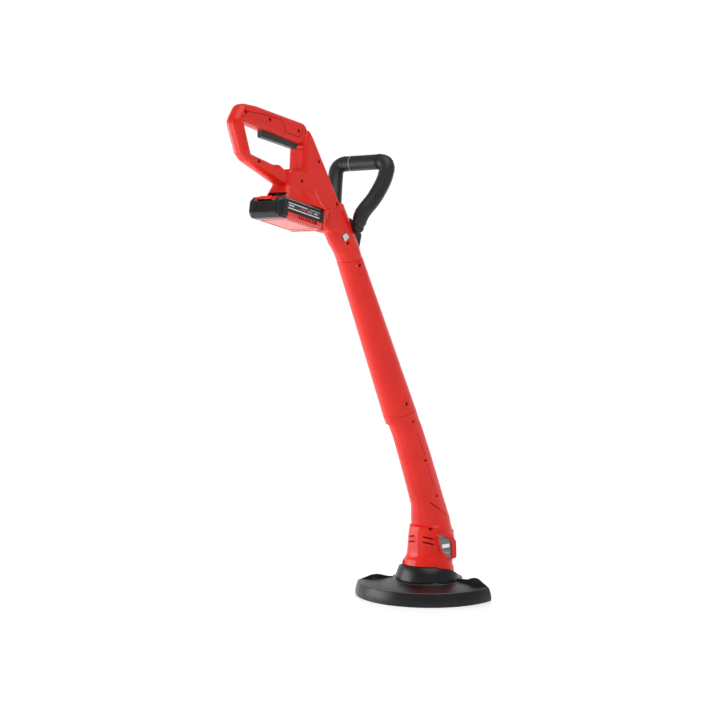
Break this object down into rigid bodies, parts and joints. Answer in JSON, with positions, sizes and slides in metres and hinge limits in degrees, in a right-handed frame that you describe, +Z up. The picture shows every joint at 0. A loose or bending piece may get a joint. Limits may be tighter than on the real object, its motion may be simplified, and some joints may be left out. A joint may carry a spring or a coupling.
{
  "type": "string trimmer",
  "caption": "Hand-held battery string trimmer: D-handle with trigger, slide-in pack, front hand loop, slanting tube, motor head, guard and bump-feed line spool.",
  "frame": {"origin": "where the cutting spindle's axis meets the plane of the guard's rim", "axes": "+Z up along the spindle, +X forwards away from the user, +Y to the user's left"},
  "size_m": [0.632, 0.2503, 0.8537],
  "materials": {
    "red_housing": "satin moulded plastic",
    "black_plastic": "fine moulded grain",
    "steel": "zinc plated",
    "label_plate": "plain brushed label, bare",
    "cutting_line": "extruded nylon"
  },
  "bodies": {
    "tool": {"handle_shell_left": "red_housing", "handle_shell_right": "red_housing", "switch": "black_plastic", "dock_terminals": "black_plastic", "shaft_tube": "red_housing", "tube_screw_upper": "steel", "tube_screw_lower": "steel", "motor_housing_left": "red_housing", "motor_housing_right": "red_housing", "motor_label": "label_plate", "motor_can": "steel", "motor_mount": "black_plastic", "collar": "black_plastic", "guard": "black_plastic", "line_cutter": "steel", "aux_saddle": "black_plastic", "aux_bolt": "steel", "shell_screw_1": "steel", "shell_screw_2": "steel", "shell_screw_3": "steel", "shell_screw_4": "steel", "shell_screw_5": "steel", "shell_screw_6": "steel", "shell_screw_7": "steel", "shell_screw_8": "steel", "shell_screw_9": "steel", "housing_screw_1": "steel", "housing_screw_2": "steel", "housing_screw_3": "steel", "housing_screw_4": "steel"},
    "trigger": {"trigger": "black_plastic"},
    "lock_button": {"lock_button": "black_plastic"},
    "battery_pack": {"pack_case": "black_plastic", "pack_tray": "red_housing", "cell_1": "steel", "cell_2": "steel", "cell_3": "steel", "cell_4": "steel", "cell_5": "steel"},
    "pack_release": {"pack_release": "red_housing"},
    "aux_handle": {"aux_loop": "black_plastic"},
    "cutting_head": {"spindle": "steel", "spool_drum": "black_plastic"},
    "bump_feed": {"spool": "red_housing", "line_winding": "cutting_line", "bump_cap": "black_plastic"}
  },
  "joints": [
    {"name": "trigger_pull", "type": "hinge", "parent": "tool", "child": "trigger", "pos_m": [-0.406, 0, 0.814], "axis": [0, 1, 0], "range_deg": [0, 4], "stiffness_Nm_per_rad": 4, "springref_deg": -2.86},
    {"name": "lock_press", "type": "slide", "parent": "tool", "child": "lock_button", "axis": [0, -1, 0], "range_m": [0, 0.0025], "stiffness_N_per_m": 400, "springref_m": -0.003},
    {"name": "pack_slide", "type": "slide", "parent": "tool", "child": "battery_pack", "axis": [-0.9863, 0, 0.165], "range_m": [0, 0.115]},
    {"name": "release_press", "type": "slide", "parent": "battery_pack", "child": "pack_release", "axis": [-0.165, 0, -0.9863], "range_m": [0, 0.0025], "stiffness_N_per_m": 500, "springref_m": -0.002},
    {"name": "aux_tilt", "type": "hinge", "parent": "tool", "child": "aux_handle", "pos_m": [-0.26, 0, 0.675], "axis": [0, 1, 0], "range_deg": [-5, 45]},
    {"name": "head_spin", "type": "hinge", "parent": "tool", "child": "cutting_head", "pos_m": [0, 0, 0], "axis": [0, 0, 1], "continuous": true},
    {"name": "bump_press", "type": "slide", "parent": "cutting_head", "child": "bump_feed", "axis": [0, 0, 1], "range_m": [0, 0.003], "stiffness_N_per_m": 1500, "springref_m": -0.004}
  ]
}
